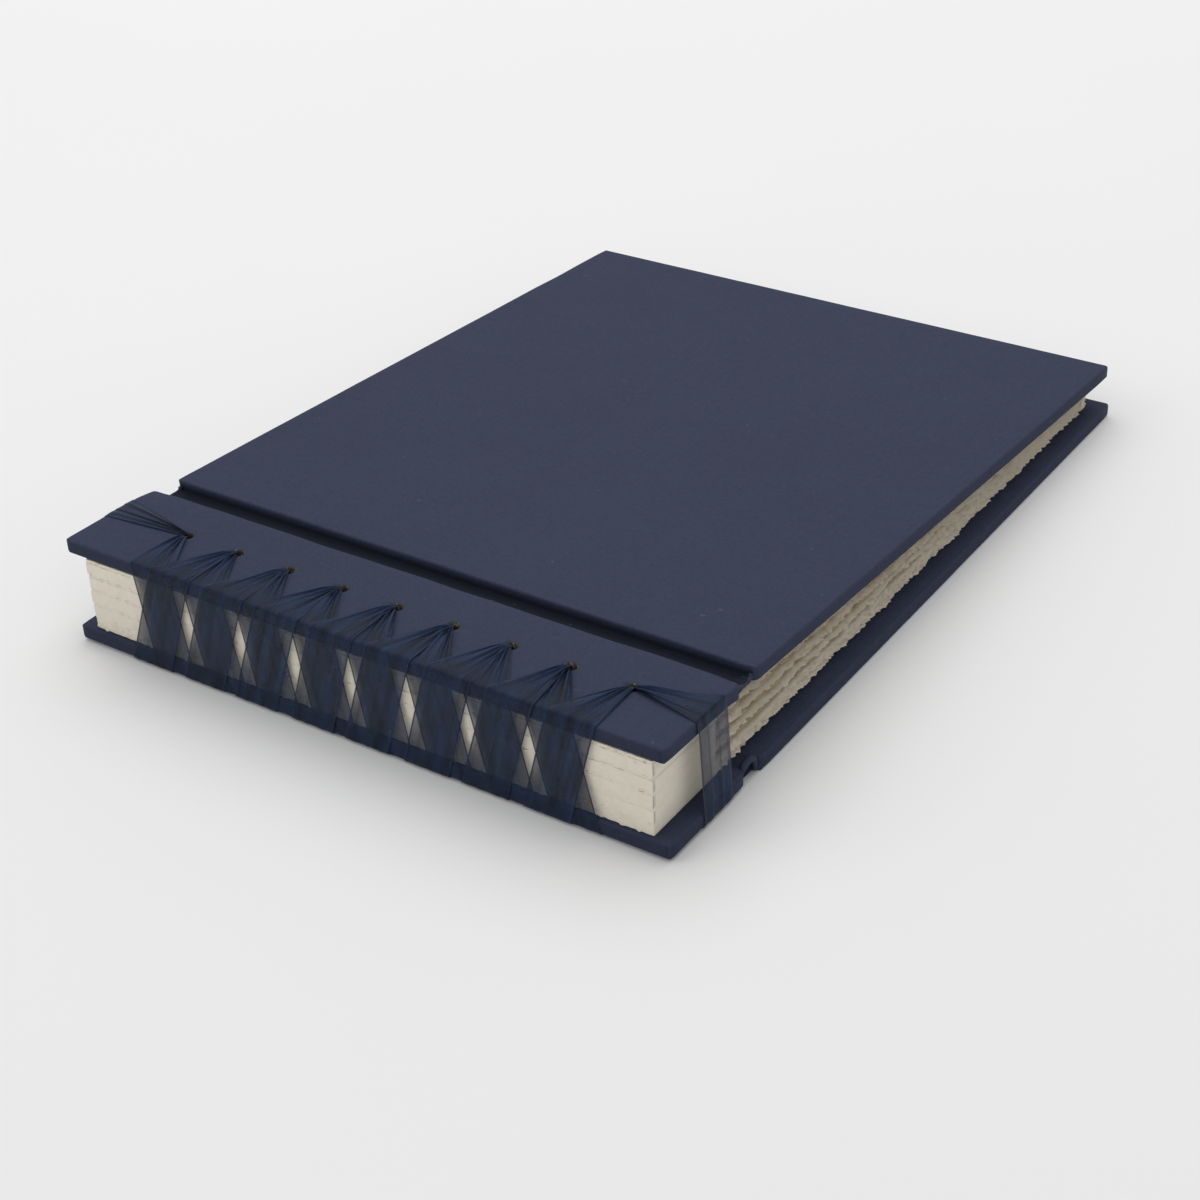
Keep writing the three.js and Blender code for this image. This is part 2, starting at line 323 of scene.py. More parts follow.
def ribbon_finish(base, opacity, width, selvedge):
    """Sheer woven ribbon: one layer lets the light through, gathered cloth hides more, fold valleys take painted
    shade, painted sheen lightens patches and one side of the fans, and a dense selvedge runs along both edges."""
    finish = Finish("ribbon", Sheen_Weight=0.05, Sheen_Roughness=0.35, Specular_IOR_Level=0.18)
    cloth = finish.cloth_place()
    across = finish.part(cloth, 0)
    edge = across.maths("MINIMUM", across, width - across)
    dense = 1 - edge.between(selvedge * 0.7, selvedge * 1.3)
    strands = finish.noise(finish.stretched(cloth, (3200, 26, 1)), 1.0, 2.0)
    cross = finish.noise(finish.stretched(cloth, (90, 2400, 1)), 1.0, 1.0)
    crumple = finish.noise(finish.stretched(cloth, (420, 90, 1)), 1.0, 3.0)
    layers = finish.attribute("layers") * (0.72 + strands * 0.36 + cross * 0.2) + dense * 1.6
    sheer = 1 - (1 - opacity) ** layers
    folds = finish.attribute("folds")
    # Painted sheen: patches of the crumpled cloth get a lit copy of the colour, the rest a shaded copy.
    sheen = (crumple * 0.6 + strands * 0.4).between(0.38, 0.66)
    lit = finish.mix(sheen, shade(base, 0.5), (base[0] * 1.9, base[1] * 2.2, base[2] * 2.4))
    # Painted sheen: a bluer, lighter side along the fans by the holes.
    bright = finish.mix(finish.attribute("shine") * 0.6, lit, (base[0] * 2.2, base[1] * 2.7, base[2] * 3.3))
    # Painted shade in the fold valleys.
    folded = finish.mix((folds * 1.3).between(0.0, 1.0) * 0.95, bright, shade(base, 0.12))
    edged = finish.mix(dense * 0.7, folded, (base[0] * 0.7, base[1] * 0.85, base[2] * 1.2))
    return finish.surface(
        Base_Color=edged, Alpha=sheer, Roughness=0.38 + crumple * 0.25,
        Normal=finish.bump(crumple * 0.7 + strands * 0.3, 0.00025, 0.5),
    )


def floor_finish():
    """Plain pale studio floor."""
    finish = Finish("studio_floor", Specular_IOR_Level=0.1)
    grain = finish.noise(finish.place(), 6.0, 2.0)
    return finish.surface(Base_Color=finish.mix(grain, (0.86, 0.86, 0.86), (0.88, 0.88, 0.88)), Roughness=0.9)


# Surfaces


def smooth(low, high, value):
    """0 below low, 1 above high, with an even start and end."""
    share = np.clip((value - low) / (high - low), 0, 1)
    return share * share * (3 - 2 * share)


def ripple(along, wavelengths, seed):
    """Sum of sines of the given wavelengths with seeded phases, between about -1 and 1."""
    phases = np.random.default_rng(seed).uniform(0, 2 * np.pi, len(wavelengths))
    waves = [np.sin(2 * np.pi * along / size + phase) for size, phase in zip(wavelengths, phases)]
    return sum(waves) / len(wavelengths) ** 0.5


def grid_quads(rows, columns, wrap=False):
    """Quads between neighbouring points of a grid, joined round across the columns if wrap. Also gives
    each corner's place in the grid with one more column, for cloth places that don't wrap."""
    r, c = np.meshgrid(np.arange(rows - 1), np.arange(columns if wrap else columns - 1), indexing="ij")
    row = np.stack([r, r + 1, r + 1, r], -1).reshape(-1, 4)
    column = np.stack([c, c, c + 1, c + 1], -1).reshape(-1, 4)
    return row * columns + column % columns, row * (columns + 1) + column


def turned_outward(points, quads):
    """The quads of a closed surface, turned so that its signed volume is positive."""
    a, b, c, d = (points[quads[:, corner]] for corner in range(4))
    volume = np.einsum("ij,ij->", np.cross(a, b) + np.cross(b, c) + np.cross(c, d) + np.cross(d, a), a + b + c + d)
    return quads if volume > 0 else quads[:, ::-1]


class Piece:
    """Surfaces gathered into one object. Points are millimetres along X, from the spine edge, and up."""

    def __init__(self, name):
        self.name = name
        self.points = []
        self.quads = []
        self.cloth = []
        self.soft = []
        self.count = 0

    def add(self, points, quads, cloth=None, closed=True, soft=True):
        points = points.reshape(-1, 3) + (0, SPINE_EDGE, 0)
        if cloth is None:
            cloth = np.zeros((*quads.shape, 2))
        if closed:
            flipped = turned_outward(points - points.mean(0), quads)
            cloth = cloth if flipped is quads else cloth[:, ::-1]
            quads = flipped
        self.points.append(points)
        self.quads.append(quads + self.count)
        self.cloth.append(cloth)
        self.soft.append(np.full(len(quads), soft))
        self.count += len(points)

    def finish(self, *materials, attributes=None):
        """Puts the surfaces into a mesh, in metres, with places on the cloth and any attributes."""
        points = np.concatenate(self.points) * MM
        quads = np.concatenate(self.quads)
        mesh = bpy.data.meshes.new(self.name)
        mesh.vertices.add(len(points))
        mesh.vertices.foreach_set("co", points.ravel())
        mesh.loops.add(quads.size)
        mesh.loops.foreach_set("vertex_index", quads.ravel().astype(np.int32))
        mesh.polygons.add(len(quads))
        mesh.polygons.foreach_set("loop_start", np.arange(0, quads.size, 4, dtype=np.int32))
        mesh.update(calc_edges=True)
        mesh.uv_layers.new(name="Cloth").uv.foreach_set("vector", (np.concatenate(self.cloth) * MM).ravel())
        for key, values in (attributes or {}).items():
            mesh.attributes.new(key, "FLOAT", "POINT").data.foreach_set("value", values.ravel())
        mesh.polygons.foreach_set("use_smooth", np.concatenate(self.soft))
        if mesh.validate():
            raise RuntimeError(self.name + " has broken faces")
        for material in materials:
            mesh.materials.append(material)
        made = bpy.data.objects.new(self.name, mesh)
        bpy.context.scene.collection.objects.link(made)
        return made


def panel_chain(start, end, radius, step):
    """Depths along a panel's face from one edge to the other, how far each lies below the face, and how far
    it draws in when the panel gets smaller: a quarter circle, the flat face, and a quarter circle."""
    turn = np.linspace(0, np.pi / 2, 6)
    flat = np.linspace(start + radius, end - radius, max(2, round((end - start) / step)))[1:-1]
    along = np.concatenate([start + radius * (1 - np.cos(turn)), flat, end - radius * (1 - np.sin(turn))])
    below = np.concatenate([radius * (1 - np.sin(turn)), 0 * flat, radius * (1 - np.cos(turn))])
    drawn = np.concatenate([np.cos(turn), 0 * flat, -np.sin(turn)])
    return along, below, drawn


def carried_panel(upper, lower, drawn, x_low, x_high, radius, rows):
    """A flat closed solid. A loop of an upper and a lower chain, each of (depths, heights), is carried along X
    between x_low and x_high of each depth. Near both ends it shrinks along a quarter circle, and the ends
    are closed by quads between the two chains."""
    along = np.concatenate([upper[0], lower[0][::-1]])
    height = np.concatenate([upper[1], lower[1][::-1]])
    centre = np.concatenate([lower[1] + upper[1], (lower[1] + upper[1])[::-1]]) / 2
    reach = np.minimum(radius, 0.9 * np.abs(height - centre))
    towards = np.sign(centre - height)
    draws = np.concatenate([drawn, drawn[::-1]])
    turn = np.linspace(np.pi / 2, 0, 5)[:, None]
    middle = np.linspace(0, 1, rows)[1:-1, None]
    low = x_low(along)[None]
    high = x_high(along)[None]
    first = low + radius * (1 - np.sin(turn))
    last = high - radius * (1 - np.sin(turn[::-1]))
    x = np.concatenate([first, low + radius + (high - low - 2 * radius) * middle, last])
    inset = np.concatenate([1 - np.cos(turn), 0 * middle, 1 - np.cos(turn[::-1])])
    depth = along + inset * radius * draws * 0.9
    up = height + inset * reach * towards
    points = np.stack([x, depth + 0 * x, up + 0 * x], -1)
    sides = np.hypot(np.diff(along, append=along[0]), np.diff(height, append=height[0]))
    length_round = np.concatenate([[0], np.cumsum(sides)])
    quads, corners = grid_quads(*x.shape, wrap=True)
    places = np.stack(np.broadcast_arrays(np.pad(x, ((0, 0), (0, 1)), mode="wrap"), length_round), -1)
    cloth = places.reshape(-1, 2)[corners]
    count = len(along)
    step = np.arange(count // 2 - 1)
    cap = np.stack([step, step + 1, count - 2 - step, count - 1 - step], -1)
    far_cap = cap[:, ::-1] + (len(x) - 1) * count
    edge_places = points.reshape(-1, 3)[:, 1:]
    quads = np.concatenate([quads, cap, far_cap])
    cloth = np.concatenate([cloth, edge_places[cap], edge_places[far_cap]])
    return points, quads, cloth


# Covers

BACK_SHIFT = np.array([1.4, -0.8, 0.0])  # the back cover sits nearer the tail and the spine than the front one
HEAD_OVERHANG = {"front": 1.7, "back": 2.2}  # the spine boards reach further at the head than the main ones


class Cover:
    """One cover's lines, from the CAD: its outer face is straight over each board, and depth into the cover
    is counted from it. The front cover's outer face is up, and the back cover's is down."""

    def __init__(self, side):
        strip_low, strip_high = node_box(side + "_spine_cloth")
        main_low, main_high = node_box(side + "_main_cloth")
        self.side = side
        self.sense = 1 if side == "front" else -1
        self.strip_end = strip_high[1] - SPINE_EDGE
        self.main_start = main_low[1] - SPINE_EDGE
        self.main_end = main_high[1] - SPINE_EDGE
        bends = [0, self.strip_end, self.main_start, self.main_end]
        if side == "front":
            heights = [strip_high[2], strip_low[2] + COVER_THICKNESS, main_high[2], main_low[2] + COVER_THICKNESS]
        else:
            heights = [strip_low[2], strip_low[2], main_low[2], main_low[2]]
        self.outer = lambda along: np.interp(along, bends, heights)

    def height(self, along, depth):
        return self.outer(along) - self.sense * depth


def cover_chains(cover, sizes):
    """The cover's outer and inner chains as (depths from the spine edge, depths into the cover). The outer one
    rounds each board's edges and dips into the groove between them, and the inner one stays level."""
    radius = sizes.edge_radius / MM
    groove = sizes.groove_depth / MM
    fillet = 0.6
    turn = np.linspace(0, np.pi / 2, 5)
    strip, strip_below, strip_drawn = panel_chain(0, cover.strip_end, radius, 1.3)
    main, main_below, main_drawn = panel_chain(cover.main_start, cover.main_end, radius, 3.2)
    wall = np.linspace(radius, groove - fillet, 4)[1:-1]
    corner = fillet * (1 - np.cos(turn))
    corner_below = groove - fillet * (1 - np.sin(turn))
    floor = np.linspace(cover.strip_end + fillet, cover.main_start - fillet, 8)[1:-1]
    hinge = np.concatenate(
        [cover.strip_end + 0 * wall, cover.strip_end + corner, floor, (cover.main_start - corner)[::-1]]
    )
    hinge = np.append(hinge, cover.main_start + 0 * wall)
    hinge_below = np.concatenate([wall, corner_below, groove + 0 * floor, corner_below[::-1], wall[::-1]])
    outer = np.concatenate([strip, hinge, main])
    outer_below = np.concatenate([strip_below, hinge_below, main_below])
    drawn = np.concatenate([strip_drawn, 0 * hinge, main_drawn])
    drawn[len(strip) - 6 : len(strip) + len(hinge) + 6] = 0
    ends = 6
    window = np.ones(9) / 9
    inner = np.convolve(np.pad(outer, 4, mode="edge"), window, mode="valid")
    inner[:ends] = outer[:ends]
    inner[-ends:] = outer[-ends:]
    between = slice(ends, len(inner) - ends)
    inner[between] = np.interp(
        np.arange(len(inner))[between],
        [ends - 1, ends + 4, len(inner) - ends - 5, len(inner) - ends],
        [0, 0, 0, 0],
    ) + np.clip(inner[between], outer[ends - 1] + 0.1, outer[-ends] - 0.1)
    inner = np.maximum.accumulate(inner + np.arange(len(inner)) * 1e-4)
    inner_below = np.full(len(inner), COVER_THICKNESS - 0.1)
    inner_below[:ends] -= strip_below[:ends]
    inner_below[-ends:] -= main_below[-ends:]
    return (outer, outer_below), (inner, inner_below), drawn


def cover_reach(cover, sizes, side):
    """Half the cover's width at a depth: the boards have quarter-circle corners, and the groove's ends are
    pushed in."""
    radius = sizes.corner_radius / MM
    inset = (sizes.front_groove_inset if side == "front" else sizes.back_groove_inset) / MM

    def reach(along):
        from_strip = np.minimum(along, cover.strip_end - along)
        from_main = np.minimum(along - cover.main_start, cover.main_end - along)
        from_edge = np.clip(np.maximum(from_strip, from_main), 0, radius)
        board = HALF_WIDTH - radius + np.sqrt(radius**2 - (radius - from_edge) ** 2)
        middle = (cover.strip_end + cover.main_start) / 2
        hinge = smooth(3.4, 2.2, np.abs(along - middle))
        return board * (1 - hinge) + (HALF_WIDTH - inset) * hinge

    return reach


def make_cover(side, sizes, cloth, board):
    """One cover's cloth as a closed skin over its two boards and the hinge between them, with the lacing holes
    punched through the strip. Painted shade is marked on the cloth in the groove, on the boards' sides and at
    the back hinge's closed ends."""
    cover = Cover(side)
    (outer, outer_below), (inner, inner_below), drawn = cover_chains(cover, sizes)
    reach = cover_reach(cover, sizes, side)
    piece = Piece(side + "_cover_cloth")

    def overhang(along):
        return HEAD_OVERHANG[side] * smooth(cover.strip_end + 1, cover.strip_end - 0.2, along)

    points, quads, places = carried_panel(
        (outer, cover.height(outer, outer_below)),
        (inner, cover.height(inner, inner_below)),
        drawn,
        lambda along: -reach(along) - overhang(along),
        reach,
        sizes.edge_radius / MM,
        56,
    )
    x, along, up = points[..., 0], points[..., 1], points[..., 2]
    middle = (cover.strip_end + cover.main_start) / 2
    in_hinge = smooth(3.6, 2.4, np.abs(along - middle))
    in_groove = smooth(3.9, 3.0, np.abs(along - middle))
    near_end = smooth(HALF_WIDTH - 3.2, HALF_WIDTH - 1.2, np.abs(x))
    depth = cover.sense * (cover.outer(along) - up)
    is_outer = np.arange(x.shape[1]) < len(outer)
    if side == "front":
        lip = in_hinge * near_end * np.where(is_outer, 1.0, 0.0)
        up = up + 0.8 * lip
        bent = smooth(cover.strip_end - 6, cover.strip_end, along) * smooth(cover.strip_end + 3, cover.strip_end, along)
        up = up - 0.55 * bent * smooth(HALF_WIDTH - 7, HALF_WIDTH, np.abs(x))
    else:
        # At the back hinge's ends the outer cloth is drawn down to the floor: a dark sheet closing the notch between
        # the boards, where there would only be shade.
        closed = smooth(3.3, 2.9, np.abs(along - middle)) * near_end
        up = np.where(is_outer, up * (1 - closed) + 0.3 * closed, up + 0.6 * in_hinge * near_end)
    face = smooth(0.9, 0.2, depth) + smooth(COVER_THICKNESS - 0.9, COVER_THICKNESS - 0.3, depth)
    up = up + 0.05 * ripple(x + 0.3 * along, (61, 34, 19), 3) * ripple(along, (83, 41, 23), 4) * face
    points = np.stack([x, along, np.maximum(up, 0.01)], -1)
    points += BACK_SHIFT * (side == "back")
    piece.add(points, quads, places)
    # Painted shade: darker down into the hinge groove.
    painted_shade = np.where(is_outer, smooth(0.5, 2.2, depth) * in_groove, 0.0)
    # Painted shade on the boards' side faces, along the spine edge and at the ends.
    at_edge = np.maximum(smooth(0.9, 0.1, along), 0.6 * smooth(HALF_WIDTH - 0.5, HALF_WIDTH - 0.1, np.abs(x)))
    board_side = at_edge * smooth(0.1, 0.7, depth) * smooth(COVER_THICKNESS, COVER_THICKNESS - 0.6, depth)
    painted_shade = np.maximum(painted_shade, 0.42 * board_side)
    # Painted shade: the back hinge's closed ends are painted nearly black.
    if side == "back":
        painted_shade = np.maximum(painted_shade, closed)
    made = piece.finish(cloth, attributes={"painted_shade": painted_shade})
    punch_holes(made, cover, sizes.hole_radius / MM, board)
    return made


def make_hinge_rolls(side, cloth):
    """The turned-in cloth at both ends of a hinge: a round roll that arches from board to board, a circle carried
    along half an ellipse, thinner where it tucks in beside the boards."""
    cover = Cover(side)
    piece = Piece(side + "_hinge_rolls")
    share = np.linspace(0, 1, 25)
    if side == "back":
        turn = np.pi * (1.0 - share)
        along = cover.strip_end + 3.1 + 2.6 * np.cos(turn) * (1 - 0.25 * (share - 0.5))
        depth = 2.3 + 2.1 * np.sin(turn) ** 0.8 - 1.5 * smooth(0.75, 1.0, share)
        thick = 0.45 + 0.3 * np.sin(np.pi * share)
        from_end = 0.9
    else:
        along = cover.strip_end + 0.4 + (cover.main_start - cover.strip_end - 0.8) * (0.5 - 0.5 * np.cos(np.pi * share))
        depth = 1.5 + 1.25 * np.sin(np.pi * share) ** 0.5
        thick = 0.42 + 0.1 * np.sin(np.pi * share)
        from_end = 1.15
    path_up = cover.height(along, depth)
    step_along, step_up = np.gradient(along), np.gradient(path_up)
    size = np.hypot(step_along, step_up)
    turn = np.linspace(0, 2 * np.pi, 12, endpoint=False)[None]
    for end in (-1, 1):
        x = end * (HALF_WIDTH - from_end) + thick[:, None] * np.cos(turn)
        out = thick[:, None] * np.sin(turn)
        far = along[:, None] - out * (step_up / size)[:, None]
        up = path_up[:, None] + out * (step_along / size)[:, None]
        quads, corners = grid_quads(25, 12, wrap=True)
        places = np.stack(np.broadcast_arrays(share[:, None] * 9, np.linspace(0, 3.5, 13)), -1).reshape(-1, 2)
        fan = np.stack([np.arange(0, 5), np.arange(1, 6), 10 - np.arange(0, 5), 11 - np.arange(0, 5)], -1)
        caps = np.concatenate([fan, fan[:, ::-1] + 24 * 12])
        cloth_places = np.concatenate([places[corners], np.zeros((10, 4, 2))])
        points = np.stack([x, far, up], -1) + BACK_SHIFT * (side == "back")
        piece.add(points, np.concatenate([quads, caps]), cloth_places)
    return piece.finish(cloth, attributes={"painted_shade": np.zeros(600)})


def hole_places():
    """X of the nine lacing holes, in millimetres: the laps of the forward run start and end in them."""
    first = -HALF_WIDTH + 20.9
    last = HALF_WIDTH - 17.2
    return np.linspace(first, last, 9)


HOLE_DEPTH = 15.6


def punch_holes(made, cover, radius, board):
    """Cuts round holes with slightly flared mouths through the strip. Each cutter is a circle carried up,
    wider at the outer face, and its walls show raw board."""
    turn = np.linspace(0, 2 * np.pi, 24, endpoint=False)
    middle = cover.outer(HOLE_DEPTH) - cover.sense * COVER_THICKNESS / 2
    half = COVER_THICKNESS / 2
    rises = cover.sense * np.array([-half - 1, -half - 0.1, half - 0.45, half, half + 1.0])
    widths = radius * np.array([1.0, 1.0, 1.0, 1.14, 1.5])
    cutter = Piece("hole_cutter")
    for x in hole_places():
        rings = np.stack(
            [
                x + widths[:, None] * np.cos(turn),
                HOLE_DEPTH + widths[:, None] * np.sin(turn),
                middle + rises[:, None] + 0 * turn,
            ],
            -1,
        )
        centres = np.array([[[x, HOLE_DEPTH, middle + rises[0]]], [[x, HOLE_DEPTH, middle + rises[-1]]]])
        rings = np.concatenate([np.repeat(centres[:1], 24, 1), rings, np.repeat(centres[1:], 24, 1)])
        rings[0] = centres[0] + (rings[1] - centres[0]) * 0.02
        rings[-1] = centres[1] + (rings[-2] - centres[1]) * 0.02
        quads, _ = grid_quads(len(rings), 24, wrap=True)
        ends = np.arange(24).reshape(2, 12)
        fan = np.stack([np.arange(0, 11), np.arange(1, 12), 22 - np.arange(0, 11), 23 - np.arange(0, 11)], -1)
        del ends
        caps = [fan, fan[:, ::-1] + (len(rings) - 1) * 24]
        cutter.add(rings, np.concatenate([quads, *caps]))
    tool = cutter.finish(board)
    modifier = made.modifiers.new("holes", "BOOLEAN")
    modifier.operation = "DIFFERENCE"
    modifier.solver = "EXACT"
    modifier.material_mode = "TRANSFER"
    modifier.object = tool
    graph = bpy.context.evaluated_depsgraph_get()
    punched = bpy.data.meshes.new_from_object(made.evaluated_get(graph))
    made.modifiers.clear()
    made.data = punched
    bpy.data.objects.remove(tool)


# Leaves

HEAD_PROUD = 1.2  # how far the torn leaves stand out at the head, past the size they were cut to


class Gathering:
    """The lines of a gathering of leaves, from the CAD: level with the strip from the spine to the fold, and
    straight from the fold to the pressed stack at the fore-edge."""

    def __init__(self, number, sizes):
        bound_low, bound_high = node_box(f"bound_leaves_{number}")
        free_low, free_high = node_box(f"free_leaves_{number}")
        self.number = number
        self.thickness = sizes.gathering_thickness / MM if number > 1 else bound_high[2] - bound_low[2]
        self.leaves = sizes.thin_gathering_leaves if number > 1 else sizes.bottom_gathering_leaves
        self.x_low = bound_low[0] - HEAD_PROUD
        self.x_high = bound_high[0]
        self.start = bound_low[1] - SPINE_EDGE
        self.fold = (bound_high[1] + free_low[1]) / 2 - SPINE_EDGE
        self.end = free_high[1] - SPINE_EDGE
        bends = [self.start, self.fold, self.end]
        floors = [bound_high[2] - self.thickness, bound_low[2], free_low[2]]
        self.floor = lambda along: np.interp(along, bends, floors)


def leaf_height(gathering, leaf, wave_height, x, along):
    """Height of a leaf's middle: its place in the gathering, plus waves that grow towards the head and the tail
    and die out at the fold and in the pressed stack. The outermost gatherings only wave inwards."""
    step = gathering.thickness / gathering.leaves
    rest = gathering.floor(along) + step * (leaf + 0.5)
    from_edge = np.minimum(x - gathering.x_low, gathering.x_high - x)
    side = np.where(x > 0, 1, 2)
    seed = 10 * gathering.number
    wave = np.where(
        side == 1,
        ripple(along, (71, 38, 23, 14), seed + 1),
        ripple(along, (64, 43, 26, 15), seed + 2),
    )
    own = np.where(side == 1, ripple(along, (29, 13, 8), seed + 3 + leaf), ripple(along, (31, 14, 7), seed + 7 + leaf))
    if gathering.number == GATHERINGS[-1]:
        wave = -np.abs(wave) * 1.2
    if gathering.number == GATHERINGS[0]:
        wave = np.abs(wave) * 0.5
    room = smooth(gathering.fold, gathering.fold + 22, along) * smooth(gathering.end + 6, gathering.end - 70, along)
    reach = np.exp(-from_edge / 11) * room
    if gathering.number == GATHERINGS[0]:
        own = np.maximum(own, 0) * (leaf / gathering.leaves)
    return rest + reach * (wave_height * wave + 0.17 * own)


def leaf_thickness(gathering, along):
    """A leaf fills its share of the gathering in the binding, and is thinner than that where it is free."""
    return gathering.thickness / gathering.leaves * (1 - 0.45 * smooth(gathering.fold - 1, gathering.fold + 9, along))


def painted_margin_shade(from_side):
    """Painted shade: the leaves' margins at the head and the tail darken to brown behind their pale torn edges, where
    shade falls in the gaps between the leaves.
    """
    return smooth(0.5, 2.2, from_side) * smooth(15, 5, from_side)


def leaf_body(piece, gathering, leaf, wave_height, border):
    """A leaf without its torn edges: a grid over its width and depth, above and below its middle height."""
    low = gathering.x_low + border
    high = gathering.x_high - border
    ends = np.array([0, 1.5, 4, 8, 14, 24])
    x = np.concatenate([low + ends, np.linspace(low + 42, high - 42, 3), (high - ends)[::-1]])
    along = np.concatenate(
        [
            np.linspace(gathering.start + border, gathering.fold - 3, 4),
            np.linspace(gathering.fold - 1.8, gathering.fold + 3, 7),
            np.linspace(gathering.fold + 6, gathering.end - border, 50),
        ]
    )
    far, across = np.meshgrid(along, x, indexing="ij")
    middle = leaf_height(gathering, leaf, wave_height, across, far)
    loop_x = np.concatenate([across, across[:, ::-1]], 1)
    half = leaf_thickness(gathering, far) / 2
    loop_up = np.concatenate([middle + half, (middle - half)[:, ::-1]], 1)
    points = np.stack([loop_x, np.concatenate([far, far], 1), loop_up], -1)
    quads, _ = grid_quads(len(along), 2 * len(x), wrap=True)
    step = np.arange(len(x) - 1)
    count = 2 * len(x)
    cap = np.stack([step, step + 1, count - 2 - step, count - 1 - step], -1)
    quads = np.concatenate([quads, cap[:, ::-1], cap + (len(along) - 1) * count])
    piece.add(points, quads)
    # Gives the painted shade along the leaf's head and tail margins.
    return painted_margin_shade(np.minimum(loop_x - gathering.x_low, gathering.x_high - loop_x)).ravel()


def torn_edge(piece, gathering, leaf, wave_height, deckle, edge):
    """A leaf's torn edge along the tail, head, fore-edge or spine: a flattened loop, thick on the leaf's side
    and thin at the tip, carried along the edge. The tip wanders in and out with long and short ripples."""
    seed = 97 * gathering.number + 13 * leaf + 5 * "thfs".index(edge[0])
    along_x = edge in ("fore", "spine")
    start, end = (gathering.x_low, gathering.x_high) if along_x else (gathering.start, gathering.end)
    step = 0.8 if along_x else 0.55
    run = np.arange(start + 0.8, end - 0.8, step)
    run = run + np.random.default_rng(seed).uniform(-0.3 * step, 0.3 * step, len(run))
    run = np.concatenate([[start + 0.03, start + 0.15], run, [end - 0.15, end - 0.03]])
    teeth = np.random.default_rng(seed + 1).uniform(-1, 1, len(run))
    cut = 1 + 0 * run if edge == "spine" else 0 * run
    if not along_x:
        cut = smooth(gathering.start + 25.5, gathering.start + 22.5, run)
    short_waves = ripple(run, (4.3, 2.9, 2.3), seed + 1)
    torn = deckle * (0.45 * ripple(run, (37, 17, 9), seed) + 0.3 * short_waves + 0.5 * teeth)
    flecks = (0.06 * short_waves + 1.6 * np.clip(teeth - 0.74, 0, 1)) * (1 if edge == "spine" else 0)
    wander = torn * (1 - cut) + (0.13 + flecks) * cut
    near = 0.35 - 0.31 * cut[:, None]
    back = np.array([2.8, 1.5, 0.8, 0, 0, 0, 0.8, 1.5, 2.8]) + near * np.array([0, 0, 0, 1, 0, 1, 0, 0, 0])
    blunt = 0.7 + 0.3 * cut[:, None]
    half = leaf_thickness(gathering, gathering.start if edge == "spine" else gathering.end) / 2
    if not along_x:
        half = leaf_thickness(gathering, run)[:, None] / 2
    flat = np.array([0.6, 1.01, 1.0, 0, 0, 0, -1.0, -1.01, -0.6])
    rise = half * (flat + blunt * np.array([0, 0, 0, 1.0, 0, -1.0, 0, 0, 0]))
    curl = 0.08 * ripple(run, (6.1, 3.7, 2.7), seed + 2) * (1 - cut)
    tip = np.clip(1 - back / 1.1, 0, 1)
    out = wander[:, None] * np.clip(1 - back / 2.8, 0, 1) - back - 0.15
    limit = {"tail": gathering.x_high, "head": gathering.x_low, "fore": gathering.end, "spine": gathering.start}[edge]
    sense = 1 if edge in ("tail", "fore") else -1
    if along_x:
        x = run[:, None] + 0 * out
        far = limit + sense * out
    else:
        x = limit + sense * out
        far = run[:, None] + 0 * out
    up = leaf_height(gathering, leaf, wave_height, x, far) + rise + curl[:, None] * tip
    points = np.stack([x, far, up], -1)
    quads, _ = grid_quads(len(run), 9, wrap=True)
    cap = np.array([[0, 1, 7, 8], [1, 2, 6, 7], [2, 3, 5, 6]])
    end_points = points[[0, -1]]
    for index in (0, -1):
        points[index] = end_points[index].mean(0) + (end_points[index] - end_points[index].mean(0)) * 0.15
    last = (len(run) - 1) * 9
    quads = np.concatenate([quads, cap[:, ::-1], cap + last])
    piece.add(points, quads, soft=False)
    # Gives the painted shade behind the torn head and tail edges.
    return (painted_margin_shade(back) * (0 if along_x else 1) * (1 - cut[:, None])).ravel()


def make_gathering(number, sizes, paper):
    """All the leaves of a gathering, each a thin sheet with four torn edges."""
    gathering = Gathering(number, sizes)
    piece = Piece(f"gathering_{number}")
    wave_height = sizes.wave_height / MM
    # Painted shade at each point, for the paper's finish.
    painted_gap_shade = []
    for leaf in range(gathering.leaves):
        painted_gap_shade.append(leaf_body(piece, gathering, leaf, wave_height, 1.6))
        for edge in ("tail", "head", "fore", "spine"):
            painted_gap_shade.append(torn_edge(piece, gathering, leaf, wave_height, sizes.deckle_depth / MM, edge))
    return piece.finish(paper, attributes={"painted_gap_shade": np.concatenate(painted_gap_shade)}), gathering


